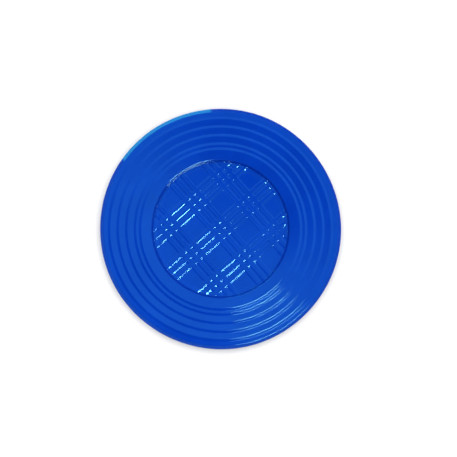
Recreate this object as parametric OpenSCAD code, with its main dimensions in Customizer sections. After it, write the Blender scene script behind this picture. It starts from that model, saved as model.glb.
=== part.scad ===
// Disposable plastic plate: one sheet, moulded into a flat floor with a plaid relief, a small
// step, a short riser, a sloping wall, a rim of rings and a turned-down lip.
// The outline is walked outward along the eating side, from the centre to the lip.

/* [Plate] */
// Diameter over the lip
plate_d = 220; // [200:5:260]
// Thickness of the moulded sheet
sheet_t = 0.5; // [0.4:0.05:0.7]

/* [Well] */
// Slope of the small step round the floor
step_angle = 15; // [10:1:20]
// Straight length of the step
step_len = 0.6; // [0.3:0.1:0.8]
// Bend radius of the step
step_bend_r = 1.5; // [1:0.1:1.6]
// Width of the level ledge between the step and the riser
ledge_w = 1.3; // [0.8:0.1:2]
// Slope of the riser
riser_angle = 73; // [50:1:75]
// Straight length of the riser
riser_len = 3.65; // [1:0.05:5]
// Bend radius where the ledge turns up
foot_bend_r = 0.9; // [0.8:0.1:1.2]
// Bend radius where the riser turns out
shoulder_bend_r = 1.0; // [1:0.1:2]
// Slope of the wall between the riser and the rings
wall_angle = 21; // [12:1:30]
// Straight length of the wall
wall_len = 9; // [5:0.1:10]

/* [Rings] */
// Number of wide rings, outside the narrow one
ring_count = 3; // [1:1:4]
// Slope of each ring's inner side, which rises outward
ring_rise_angle = 20; // [12:1:25]
// Slope of each ring's outer side, which falls outward
ring_fall_angle = 16; // [5:1:18]
// Straight length of a wide ring's inner side
ring_rise_len = 5.35; // [3:0.05:6]
// Straight length of the narrow ring's inner side
narrow_rise_len = 2; // [1:0.1:3]
// Straight length of each ring's outer side
ring_fall_len = 1.95; // [1:0.05:2.5]
// Bend radius of the crests
crest_bend_r = 0.9; // [0.8:0.1:2]
// Bend radius of the troughs
trough_bend_r = 0.5; // [0.3:0.1:2]

/* [Border and lip] */
// Slope of the smooth border outside the rings
border_angle = 8; // [3:1:12]
// Straight length of the border
border_len = 3.75; // [2:0.05:6]
// Slope of the turned-down lip
lip_angle = 36; // [30:1:60]
// Straight length of the lip
lip_len = 3.6; // [2:0.1:5]
// Bend radius between the border and the lip
lip_bend_r = 0.8; // [0.8:0.1:1.5]

/* [Plaid relief] */
// Turn of the plaid about the plate's axis
plaid_turn = 41.5; // [0:0.5:90]
// Distance between the middles of two bands
band_pitch = 34.6; // [28:0.1:40]
// Bars in each band
band_bars = 3; // [2:1:4]
// Distance between the middles of two bars
bar_pitch = 6.65; // [6:0.05:7.5]
// Width of a bar at its foot
bar_w = 5.1; // [4.4:0.1:5.6]
// Height of a bar above the floor
bar_h = 0.4; // [0.35:0.05:0.6]
// Width of a bar's sloping side
bar_side = 1.1; // [0.7:0.1:1.3]

/* [Hidden] */
$fn = 180;
bend_step = 8;
overlap = 0.1;
foot_ring_w = 1.5;

// A move is [straight length, slope that the sheet bends to, bend radius].
fall = [ring_fall_len, ring_rise_angle, trough_bend_r];
wide_rise = [ring_rise_len, -ring_fall_angle, crest_bend_r];
border_turn = [ring_fall_len, border_angle, trough_bend_r];
wide_rings = [for (i = [1:ring_count]) each [wide_rise, i < ring_count ? fall : border_turn]];
moves = concat(
    [
        [0, step_angle, step_bend_r],
        [step_len, 0, step_bend_r],
        [ledge_w, riser_angle, foot_bend_r],
        [riser_len, wall_angle, shoulder_bend_r],
        [wall_len, -ring_fall_angle, crest_bend_r],
        fall,
        [narrow_rise_len, -ring_fall_angle, crest_bend_r],
        fall
    ],
    wide_rings,
    [[border_len, -lip_angle, lip_bend_r]]
);

// Points of an outline are [radius, height, slope].
function straight(p, len) = [p[0] + len * cos(p[2]), p[1] + len * sin(p[2]), p[2]];

function bend(p, slope, r) =
    let (
        side = sign(slope - p[2]),
        steps = ceil(abs(slope - p[2]) / bend_step)
    )
    [
        for (i = [1:steps])
            let (a = p[2] + (slope - p[2]) * i / steps)
            [p[0] + side * r * (sin(a) - sin(p[2])), p[1] + side * r * (cos(p[2]) - cos(a)), a]
    ];

function walk(p, i = 0) =
    i == len(moves)
        ? []
        : let (
            m = moves[i],
            q = straight(p, m[0]),
            turned = bend(q, m[1], m[2])
        )
        concat(m[0] > 0 ? [q] : [], turned, walk(turned[len(turned) - 1], i + 1));

function outline_from(p) =
    let (bends = walk(p))
    concat([p], bends, [straight(bends[len(bends) - 1], lip_len)]);

function below(p) = [p[0] + sheet_t * sin(p[2]), p[1] - sheet_t * cos(p[2])];

function above(p) = [p[0], p[1]];

rise_from_zero = outline_from([0, 0, 0]);
floor_r = plate_d / 2 - rise_from_zero[len(rise_from_zero) - 1][0];
eating_side = concat([[0, sheet_t, 0]], outline_from([floor_r, sheet_t, 0]));
last = len(eating_side) - 1;
band_reach = floor(floor_r / band_pitch);
riser_r = floor_r + 2 * step_bend_r * sin(step_angle) + step_len * cos(step_angle) + ledge_w;
bar_slope = atan(bar_h / bar_side);

module sheet() {
    rotate_extrude()
        polygon(concat(
            [for (p = eating_side) above(p)],
            [for (i = [last:-1:0]) below(eating_side[i])]
        ));
}

// A bar along X, on z = 0, with sloping sides.
module bar(w, h) {
    rotate([90, 0, 90])
        linear_extrude(height = plate_d, center = true)
            polygon([
                [-w / 2 - bar_side * overlap / h, -overlap],
                [w / 2 + bar_side * overlap / h, -overlap],
                [w / 2 - bar_side, h],
                [-w / 2 + bar_side, h]
            ]);
}

// Bands of bars both ways across a disc.
module plaid(w, h, disc_r) {
    intersection() {
        translate([0, 0, -overlap])
            cylinder(h = h + 2 * overlap, r = disc_r);
        for (way = [0, 90], band = [-band_reach:band_reach], i = [0:band_bars - 1])
            rotate(plaid_turn + way)
                translate([0, band * band_pitch + (i - (band_bars - 1) / 2) * bar_pitch, 0])
                    bar(w, h);
    }
}

module plate() {
    color("royalblue")
        difference() {
            union() {
                sheet();
                translate([0, 0, sheet_t])
                    plaid(bar_w, bar_h, riser_r + foot_bend_r / 3);
            }
            plaid(bar_w - 2 * sheet_t * tan(bar_slope / 2), bar_h, floor_r - foot_ring_w);
        }
}

plate();
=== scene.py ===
"""A blue disposable plastic plate, eating side up, seen from straight above.

The plate is one moulded sheet, so it is one closed mesh. Its eating side and its underside are each
a floor grid that follows the plaid relief, zipped to rings that follow the outline of riser, wall,
rings, border and lip. Lengths are in metres.
"""
import math
import bpy
import numpy as np
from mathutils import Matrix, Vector


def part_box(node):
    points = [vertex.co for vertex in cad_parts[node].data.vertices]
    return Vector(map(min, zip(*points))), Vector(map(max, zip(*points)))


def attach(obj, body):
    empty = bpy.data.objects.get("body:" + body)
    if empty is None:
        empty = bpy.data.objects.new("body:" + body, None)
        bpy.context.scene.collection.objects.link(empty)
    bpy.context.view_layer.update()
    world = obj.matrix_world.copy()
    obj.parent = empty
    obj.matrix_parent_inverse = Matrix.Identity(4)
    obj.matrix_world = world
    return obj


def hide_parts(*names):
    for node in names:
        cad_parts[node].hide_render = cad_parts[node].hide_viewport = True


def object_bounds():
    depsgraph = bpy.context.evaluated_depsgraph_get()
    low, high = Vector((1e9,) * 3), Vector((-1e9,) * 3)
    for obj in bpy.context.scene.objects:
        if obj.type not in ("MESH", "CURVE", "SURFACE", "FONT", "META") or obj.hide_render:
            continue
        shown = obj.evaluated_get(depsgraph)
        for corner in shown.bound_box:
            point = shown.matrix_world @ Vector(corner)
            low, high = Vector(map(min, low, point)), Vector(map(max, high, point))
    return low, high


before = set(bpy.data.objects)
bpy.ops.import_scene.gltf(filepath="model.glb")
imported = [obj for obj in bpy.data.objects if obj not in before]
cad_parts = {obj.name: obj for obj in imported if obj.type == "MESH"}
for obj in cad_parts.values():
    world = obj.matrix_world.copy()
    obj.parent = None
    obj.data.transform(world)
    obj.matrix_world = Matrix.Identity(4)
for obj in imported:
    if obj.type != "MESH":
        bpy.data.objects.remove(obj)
cad_low, cad_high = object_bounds()

MM = 0.001
PLATE_R = 110 * MM
plate_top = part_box("plate")[1].z

# ---- sheet: its thickness, and its thickness at the trimmed edge ----
SHEET_T = 0.5 * MM
TRIM_T = 0.42 * MM

# ---- outline of the eating side: [straight length, slope it bends to, bend radius] ----
CREST_R = 0.9 * MM
TROUGH_R = 0.5 * MM
RING_FALL = 16.0
FALL_LEN = 1.94 * MM
LEVEL_SLOPE = 0.0
RISER_SLOPE = 73.0
STEP = [0.0, 15.0, 1.5 * MM]
LEVEL = [0.6 * MM, LEVEL_SLOPE, 1.5 * MM]
RISER = [1.3 * MM, RISER_SLOPE, 0.9 * MM]
SHOULDER = [3.65 * MM, 21.0, 1.0 * MM]
WALL = [9.0 * MM, -RING_FALL, CREST_R]
TROUGH = [FALL_LEN, 20.0, TROUGH_R]
NARROW_RING = [2.0 * MM, -RING_FALL, CREST_R]
WIDE_RING = [5.35 * MM, -RING_FALL, CREST_R]
LAST_TROUGH = [FALL_LEN, 8.0, TROUGH_R]
BORDER = [3.75 * MM, -36.0, 0.6 * MM]
LIP_LEN = 3.75 * MM
MOVES = [
    STEP, LEVEL, RISER, SHOULDER, WALL, TROUGH, NARROW_RING,
    TROUGH, WIDE_RING, TROUGH, WIDE_RING, TROUGH, WIDE_RING, LAST_TROUGH, BORDER,
]

# ---- plaid relief ----
PLAID_TURN = math.radians(41.5)
BAND_PITCH = 34.6 * MM
BAR_PITCH = 6.65 * MM
BARS = 3
BAR_HALF_TOP = 1.45 * MM
BAR_SIDE = 1.25 * MM
BAR_H = 0.4 * MM

# The underside's bars are narrower by this at each side. They fade out between these distances from the
# floor's end.
UNDER_NARROWER = 0.1 * MM
UNDER_FADE_FROM = 2.2 * MM
UNDER_FADE_TO = 0.5 * MM

# ---- unevenness of a thin moulded plate: shares of the radius, then lifts of the lip ----
OVAL = 0.0022
LOBES = 0.0012
SHRINKAGE = 0.002
SADDLE_LIFT = 0.16 * MM
LOBE_LIFT = 0.08 * MM
# The sheet lies flat within this share of the plate's radius.
FLAT_SHARE = 0.6

# ---- mesh ----
SEGMENTS = 240
FOOT_SEGMENTS = 640
# How far apart the step and the riser still round into each other.
FOOT_BLEND = 1.2 * MM
# Grid steps on a bar's side and on the open floor, the gap to the rings, and how close two lines may lie.
EATING_SIDE_STEPS = 6
UNDER_SIDE_STEPS = 3
OPEN_FLOOR_STEPS = 5
GRID_GAP = 0.3 * MM
CLOSEST_LINES = 0.05 * MM
# The longest step along the outline, in a bend and where it is straight.
EATING_BEND_STEP = math.radians(5.0)
EATING_STRAIGHT_STEP = 3.0 * MM
UNDER_BEND_STEP = math.radians(10.0)
UNDER_STRAIGHT_STEP = 4.0 * MM
SHARP_EDGE = math.radians(60)


def walk_outline(bend_step, straight_step):
    """Points (radius, height, slope) of the eating side. The floor ends at radius 0 here."""
    points = [(0.0, 0.0, 0.0)]

    def straight(length):
        x, z, a = points[-1]
        steps = max(1, math.ceil(length / straight_step))
        for i in range(1, steps + 1):
            d = length * i / steps
            points.append((x + d * math.cos(a), z + d * math.sin(a), a))

    def bend(slope, r):
        x, z, a0 = points[-1]
        turn = slope - a0
        side = math.copysign(1.0, turn)
        steps = math.ceil(abs(turn) / bend_step)
        for i in range(1, steps + 1):
            a = a0 + turn * i / steps
            dx = side * r * (math.sin(a) - math.sin(a0))
            dz = side * r * (math.cos(a0) - math.cos(a))
            points.append((x + dx, z + dz, a))

    for length, slope, r in MOVES:
        if length > 0:
            straight(length)
        bend(math.radians(slope), r)
    straight(LIP_LEN)
    return np.array(points)


def eating_outline(bend_step, straight_step):
    """The outline in place: its end at the plate's radius, the floor's top one sheet above the table."""
    points = walk_outline(bend_step, straight_step)
    points[:, 0] += PLATE_R - points[-1, 0]
    points[:, 1] += SHEET_T
    return points


def under_outline(points):
    """The same outline one sheet lower, square to the sheet. The sheet thins towards the trimmed edge."""
    along = np.linspace(0, 1, len(points))
    thick = SHEET_T + (TRIM_T - SHEET_T) * along
    under = points.copy()
    under[:, 0] += thick * np.sin(points[:, 2])
    under[:, 1] -= thick * np.cos(points[:, 2])
    return under


def smooth(t):
    """From 0 to 1, level at both ends."""
    t = np.clip(t, 0, 1)
    return t * t * (3 - 2 * t)


def ramp(t):
    """From 0 to 1 along two equal arcs."""
    t = np.clip(t, 0, 1)
    return np.where(t < 0.5, 2 * t * t, 1 - 2 * (1 - t) ** 2)


def higher(a, b, blend):
    """The higher of two surfaces, with a fillet where they meet."""
    near = np.clip(1 - np.abs(a - b) / blend, 0, 1)
    return np.maximum(a, b) + blend / 4 * near * near


def bar_offsets():
    """Middle lines of the bars, from the plate's middle."""
    bands = (-1, 0, 1)
    return [b * BAND_PITCH + (i - (BARS - 1) / 2) * BAR_PITCH for b in bands for i in range(BARS)]


def bars_height(across, narrower):
    """Height, from 0 to 1, of the bars that run one way."""
    height = np.zeros_like(across)
    for middle in bar_offsets():
        inside = BAR_HALF_TOP + BAR_SIDE - narrower - np.abs(across - middle)
        height = np.maximum(height, ramp(inside / BAR_SIDE))
    return height


def relief(u, v, narrower=0.0):
    """Height of the plaid above the floor at (u, v), which are measured along its bands."""
    one, other = bars_height(u, narrower), bars_height(v, narrower)
    return BAR_H * (1 - (1 - one) * (1 - other))


def grid_lines(side_steps, reach):
    """Grid lines of the floor, close together on the bars' sides and far apart where it is flat."""
    lines = {0.0}
    for middle in bar_offsets():
        lines.add(middle)
        for way in (-1, 1):
            for i in range(side_steps + 1):
                lines.add(middle + way * (BAR_HALF_TOP + BAR_SIDE * i / side_steps))
            lines.add(middle + way * BAR_PITCH / 2)
    open_floor = BAND_PITCH - BARS * BAR_PITCH
    for gap in (-2, -1, 0, 1):
        start = gap * BAND_PITCH + BARS * BAR_PITCH / 2
        for i in range(1, OPEN_FLOOR_STEPS):
            lines.add(start + open_floor * i / OPEN_FLOOR_STEPS)
    rounded = sorted({round(x, 6) for x in lines if abs(x) < reach})
    keep = [rounded[0]]
    for x in rounded[1:]:
        if x - keep[-1] > CLOSEST_LINES:
            keep.append(x)
    return np.array(keep)


class Sheet:
    """Vertices and faces of one side of the plate."""

    def __init__(self):
        self.points = []
        self.faces = []
        self.count = 0

    def add_points(self, points):
        first = self.count
        self.points.append(points)
        self.count += len(points)
        return first

    def all_points(self):
        return np.concatenate(self.points)


def floor_grid(sheet, reach, side_steps, height_at):
    """Quads inside radius `reach`. Returns the vertices round their edge, in order of angle."""
    lines = grid_lines(side_steps, reach)
    u, v = np.meshgrid(lines, lines, indexing="ij")
    inside = np.hypot(u, v) < reach
    cell = inside[:-1, :-1] & inside[1:, :-1] & inside[:-1, 1:] & inside[1:, 1:]
    used = np.zeros_like(inside)
    used[:-1, :-1] |= cell
    used[1:, :-1] |= cell
    used[:-1, 1:] |= cell
    used[1:, 1:] |= cell
    c, s = math.cos(PLAID_TURN), math.sin(PLAID_TURN)
    uu, vv = u[used], v[used]
    xyz = np.column_stack([uu * c - vv * s, uu * s + vv * c, height_at(uu, vv)])
    first = sheet.add_points(xyz)
    index = np.full(used.shape, -1)
    index[used] = first + np.arange(used.sum())
    i, j = np.nonzero(cell)
    quads = np.column_stack([index[i, j], index[i + 1, j], index[i + 1, j + 1], index[i, j + 1]])
    sheet.faces += quads.tolist()
    edges = np.concatenate([quads[:, [k, (k + 1) % 4]] for k in range(4)])
    edges.sort(axis=1)
    unique, uses = np.unique(edges, axis=0, return_counts=True)
    rim = np.unique(unique[uses == 1])
    at = xyz[rim - first]
    return rim[np.argsort(np.arctan2(at[:, 1], at[:, 0]))]


def rings(sheet, outline, segments, height_at=None):
    """Rings of quads along the outline. Returns the innermost and the outermost ring's vertices."""
    turn = 2 * math.pi * (np.arange(segments) + 0.5) / segments - math.pi
    r = outline[:, 0][:, None]
    x, y = r * np.cos(turn), r * np.sin(turn)
    z = outline[:, 1][:, None] + 0 * turn
    if height_at:
        z = height_at(x, y, z)
    xyz = np.stack([x, y, z], axis=-1)
    first = sheet.add_points(xyz.reshape(-1, 3))
    index = first + np.arange(xyz.shape[0] * segments).reshape(-1, segments)
    following = np.roll(index, -1, axis=1)
    quads = np.stack([index[:-1], index[1:], following[1:], following[:-1]], axis=-1)
    sheet.faces += quads.reshape(-1, 4).tolist()
    return index[0], index[-1]


def zip_loops(sheet, inner, outer):
    """Triangles between two loops round the axis, each in order of angle."""
    points = sheet.all_points()
    inner_at = np.arctan2(points[inner, 1], points[inner, 0])
    outer_at = np.arctan2(points[outer, 1], points[outer, 0])
    n, m = len(inner), len(outer)
    i = j = 0
    while i < n or j < m:
        next_inner = inner_at[(i + 1) % n] + 2 * math.pi * ((i + 1) // n)
        next_outer = outer_at[(j + 1) % m] + 2 * math.pi * ((j + 1) // m)
        if j >= m or (i < n and next_inner < next_outer):
            sheet.faces.append([int(inner[i % n]), int(outer[j % m]), int(inner[(i + 1) % n])])
            i += 1
        else:
            sheet.faces.append([int(inner[i % n]), int(outer[j % m]), int(outer[(j + 1) % m])])
            j += 1


def along_plaid(x, y):
    """(x, y) measured along the plaid's bands."""
    c, s = math.cos(PLAID_TURN), math.sin(PLAID_TURN)
    return x * c + y * s, y * c - x * s


def eating_side():
    """The eating side, facing up. Returns the sheet and its outermost ring."""
    sheet = Sheet()
    outline = eating_outline(EATING_BEND_STEP, EATING_STRAIGHT_STEP)
    steep = np.nonzero(np.isclose(outline[:, 2], math.radians(RISER_SLOPE)))[0]
    foot = outline[:steep[-1] + 1]
    level_end = np.nonzero(np.isclose(foot[:, 2], math.radians(LEVEL_SLOPE)))[0][-1]
    step = foot[:level_end + 1]
    line_r, line_z = foot[-1, 0], foot[-1, 1]
    rise = math.tan(math.radians(RISER_SLOPE))

    def foot_height(x, y, z):
        u, v = along_plaid(x, y)
        floor = np.interp(np.hypot(x, y), step[:, 0], step[:, 1]) + relief(u, v)
        return higher(floor, line_z + rise * (np.hypot(x, y) - line_r), FOOT_BLEND)

    reach = foot[0, 0] - GRID_GAP
    edge = floor_grid(sheet, reach, EATING_SIDE_STEPS, lambda u, v: SHEET_T + relief(u, v))
    foot_inner, foot_outer = rings(sheet, foot, FOOT_SEGMENTS, foot_height)
    inner, outer = rings(sheet, outline[steep[-1] + 1:], SEGMENTS)
    zip_loops(sheet, edge, foot_inner)
    zip_loops(sheet, foot_outer, inner)
    return sheet, outer


def underside():
    """The underside, facing up as well. Its bars fade out before the riser."""
    sheet = Sheet()
    outline = under_outline(eating_outline(UNDER_BEND_STEP, UNDER_STRAIGHT_STEP))
    reach = outline[0, 0] - UNDER_FADE_TO
    fade_from = outline[0, 0] - UNDER_FADE_FROM

    def height_at(u, v):
        fade = 1 - smooth((np.hypot(u, v) - fade_from) / (reach - fade_from))
        return relief(u, v, UNDER_NARROWER) * fade

    edge = floor_grid(sheet, reach, UNDER_SIDE_STEPS, height_at)
    inner, outer = rings(sheet, outline, SEGMENTS)
    zip_loops(sheet, edge, inner)
    return sheet, outer


def warp(xyz):
    """A thin moulded plate is never quite round, and its rim never quite flat."""
    x, y = xyz[:, 0], xyz[:, 1]
    turn = np.arctan2(y, x)
    share = np.hypot(x, y) / PLATE_R
    radial = 1 + share ** 2 * (OVAL * np.cos(2 * turn + 1.1) + LOBES * np.cos(5 * turn + 0.4) - SHRINKAGE)
    off_table = smooth((share - FLAT_SHARE) / (1 - FLAT_SHARE))
    lift = off_table * (SADDLE_LIFT * np.cos(2 * turn - 0.7) + LOBE_LIFT * np.cos(3 * turn + 0.9))
    return np.column_stack([x * radial, y * radial, xyz[:, 2] + lift])


def make_plate():
    """Both sides and the trimmed edge between them, as one closed mesh."""
    top, top_edge = eating_side()
    under, under_edge = underside()
    points = np.concatenate([top.all_points(), under.all_points()])
    shifted = [[n + top.count for n in reversed(face)] for face in under.faces]
    low = under_edge + top.count
    trim = np.column_stack([top_edge, low, np.roll(low, -1), np.roll(top_edge, -1)]).tolist()
    mesh = bpy.data.meshes.new("plate_shell")
    mesh.from_pydata(warp(points).tolist(), [], top.faces + shifted + trim)
    mesh.validate()
    mesh.shade_smooth()
    mesh.set_sharp_from_angle(angle=SHARP_EDGE)
    piece = bpy.data.objects.new("plate_shell", mesh)
    bpy.context.scene.collection.objects.link(piece)
    return piece


# ---- material ----
def plastic():
    """Glossy blue polystyrene: a faint mottle, a slightly uneven gloss and a fine orange-peel surface."""
    material = bpy.data.materials.new("blue_polystyrene")
    material.use_nodes = True
    tree = material.node_tree
    shader = tree.nodes["Principled BSDF"]
    new = tree.nodes.new
    place = new("ShaderNodeTexCoord")
    mottle = new("ShaderNodeTexNoise")
    mottle.inputs["Scale"].default_value = 38
    mottle.inputs["Detail"].default_value = 4
    tint = new("ShaderNodeValToRGB")
    tint.color_ramp.elements[0].position = 0.3
    tint.color_ramp.elements[0].color = (0.0004, 0.031, 0.36, 1)
    tint.color_ramp.elements[1].position = 0.7
    tint.color_ramp.elements[1].color = (0.0008, 0.037, 0.40, 1)
    tree.links.new(place.outputs["Object"], mottle.inputs["Vector"])
    tree.links.new(mottle.outputs["Fac"], tint.inputs["Fac"])
    tree.links.new(tint.outputs["Color"], shader.inputs["Base Color"])

    haze = new("ShaderNodeTexNoise")
    haze.inputs["Scale"].default_value = 120
    haze.inputs["Detail"].default_value = 3
    rough = new("ShaderNodeMapRange")
    rough.inputs["To Min"].default_value = 0.05
    rough.inputs["To Max"].default_value = 0.07
    tree.links.new(place.outputs["Object"], haze.inputs["Vector"])
    tree.links.new(haze.outputs["Fac"], rough.inputs["Value"])
    tree.links.new(rough.outputs["Result"], shader.inputs["Roughness"])

    peel = new("ShaderNodeTexNoise")
    peel.inputs["Scale"].default_value = 420
    peel.inputs["Detail"].default_value = 2
    bump = new("ShaderNodeBump")
    bump.inputs["Strength"].default_value = 0.01
    bump.inputs["Distance"].default_value = 0.0004
    tree.links.new(place.outputs["Object"], peel.inputs["Vector"])
    tree.links.new(peel.outputs["Fac"], bump.inputs["Height"])
    tree.links.new(bump.outputs["Normal"], shader.inputs["Normal"])
    shader.inputs["IOR"].default_value = 1.55
    shader.inputs["Specular Tint"].default_value = (0.13, 0.82, 1.0, 1)
    return material


# ---- stage, lights and camera ----
STAGE_R = 3.0
STAGE_WALL_R = 1.0
STAGE_H = 1.6
STAGE_TURNS = 96
STAGE_GAP = 0.1 * MM
# The picture is square. The plate takes this share of its width, and lies this share off its middle.
PLATE_SHARE = 0.5276
OFF_CENTRE = (-0.0175, -0.0012)
# The camera's height above the lip, and the lip's height as a share of the plate's.
CAMERA_H = 0.90
LIP_SHARE = 0.8


def stage_floor():
    """A pale floor that curves up into a round wall."""
    wall = [(STAGE_R + STAGE_WALL_R * math.sin(a), STAGE_WALL_R * (1 - math.cos(a)))
            for a in np.linspace(0, math.pi / 2, 16)]
    outline = [(0.4, 0.0), (1.2, 0.0), (2.2, 0.0)] + wall + [(STAGE_R + STAGE_WALL_R, STAGE_H)]
    turns = STAGE_TURNS
    points = [(0.0, 0.0, 0.0)]
    for r, z in outline:
        points += [(r * math.cos(t), r * math.sin(t), z) for t in np.arange(turns) * 2 * math.pi / turns]
    faces = [[0, 1 + k, 1 + (k + 1) % turns] for k in range(turns)]
    for ring in range(len(outline) - 1):
        a, b = 1 + ring * turns, 1 + (ring + 1) * turns
        faces += [[a + k, b + k, b + (k + 1) % turns, a + (k + 1) % turns] for k in range(turns)]
    mesh = bpy.data.meshes.new("stage_floor")
    mesh.from_pydata(points, [], faces)
    mesh.shade_smooth()
    piece = bpy.data.objects.new("stage_floor", mesh)
    piece.location.z = cad_low.z - STAGE_GAP
    bpy.context.scene.collection.objects.link(piece)
    material = bpy.data.materials.new("pale_paper")
    material.use_nodes = True
    tree = material.node_tree
    shader = tree.nodes["Principled BSDF"]
    shader.inputs["Roughness"].default_value = 0.9
    shader.inputs["Specular IOR Level"].default_value = 0.0
    fibres = tree.nodes.new("ShaderNodeTexNoise")
    fibres.inputs["Scale"].default_value = 60
    tint = tree.nodes.new("ShaderNodeMix")
    tint.data_type = "RGBA"
    tint.inputs["A"].default_value = (0.86, 0.86, 0.86, 1)
    tint.inputs["B"].default_value = (0.88, 0.88, 0.88, 1)
    tree.links.new(fibres.outputs["Fac"], tint.inputs["Factor"])
    tree.links.new(tint.outputs["Result"], shader.inputs["Base Color"])
    mesh.materials.append(material)


def lamp(name, place, size, power):
    """A soft rectangular light that the camera doesn't see, turned to the plate."""
    data = bpy.data.lights.new(name, "AREA")
    data.shape = "RECTANGLE"
    data.size, data.size_y = size
    data.energy = power
    light = bpy.data.objects.new(name, data)
    light.location = place
    light.rotation_euler = (-Vector(place)).to_track_quat("-Z", "Y").to_euler()
    light.visible_camera = False
    bpy.context.scene.collection.objects.link(light)
    return light


def room():
    """The light of the room: bright on one side, dark on the other, and dim straight above the plate."""
    world = bpy.data.worlds.new("room")
    world.use_nodes = True
    tree = world.node_tree
    around = tree.nodes.new("ShaderNodeTexCoord")

    side = tree.nodes.new("ShaderNodeVectorMath")
    side.operation = "DOT_PRODUCT"
    side.inputs[1].default_value = (0.57, 0.82, 0.0)
    fade = tree.nodes.new("ShaderNodeMapRange")
    fade.interpolation_type = "SMOOTHSTEP"
    fade.inputs["From Min"].default_value = -0.5
    fade.inputs["From Max"].default_value = 0.2
    fade.inputs["To Min"].default_value = 0.08
    fade.inputs["To Max"].default_value = 0.92
    tree.links.new(around.outputs["Generated"], side.inputs[0])
    tree.links.new(side.outputs["Value"], fade.inputs["Value"])

    away = tree.nodes.new("ShaderNodeVectorMath")
    away.operation = "DISTANCE"
    away.inputs[1].default_value = (0.03, 0.09, 0.995)
    patch = tree.nodes.new("ShaderNodeMapRange")
    patch.interpolation_type = "SMOOTHSTEP"
    patch.inputs["From Min"].default_value = 0.02
    patch.inputs["From Max"].default_value = 0.15
    patch.inputs["To Min"].default_value = 0.05
    tree.links.new(around.outputs["Generated"], away.inputs[0])
    tree.links.new(away.outputs["Value"], patch.inputs["Value"])

    both = tree.nodes.new("ShaderNodeMath")
    both.operation = "MULTIPLY"
    tree.links.new(fade.outputs["Result"], both.inputs[0])
    tree.links.new(patch.outputs["Result"], both.inputs[1])
    tree.links.new(both.outputs["Value"], tree.nodes["Background"].inputs["Strength"])
    tree.nodes["Background"].inputs["Color"].default_value = (1, 1, 1, 1)
    bpy.context.scene.world = world


def lights():
    """A broad light overhead, a low window that the lip mirrors, and the small lamp behind the glints."""
    over = lamp("overhead", (0.0, 0.1, 1.6), (2.2, 2.2), 34)
    over.visible_glossy = False
    low = lamp("low_window", (-0.75, 1.3, 0.35), (1.4, 0.5), 10)
    low.visible_diffuse = False
    low.data.color = (0.25, 0.95, 0.7)
    glint = lamp("glint", (0.0553, -0.1096, 0.164), (0.080, 0.07), 1.4)
    glint.visible_diffuse = False
    glint.data.color = (1.0, 0.55, 0.55)
    # Its long side lies across the line from the plate's middle to it, and it leans towards the middle.
    glint.rotation_euler = (math.radians(36), 0, math.radians(30))


def camera():
    """Looks straight down. Its picture is `frame_w` wide at the height of the lip."""
    frame_w = 2 * PLATE_R / PLATE_SHARE
    data = bpy.data.cameras.new("camera")
    data.sensor_width = 36
    data.lens = data.sensor_width * CAMERA_H / frame_w
    view = bpy.data.objects.new("camera", data)
    lip_z = plate_top * LIP_SHARE
    view.location = (-OFF_CENTRE[0] * frame_w, -OFF_CENTRE[1] * frame_w, lip_z + CAMERA_H)
    bpy.context.scene.collection.objects.link(view)
    bpy.context.scene.camera = view


plate = make_plate()
plate.data.materials.append(plastic())
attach(plate, "root")
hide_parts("plate")
stage_floor()
room()
lights()
camera()
bpy.context.scene.view_settings.view_transform = "Standard"
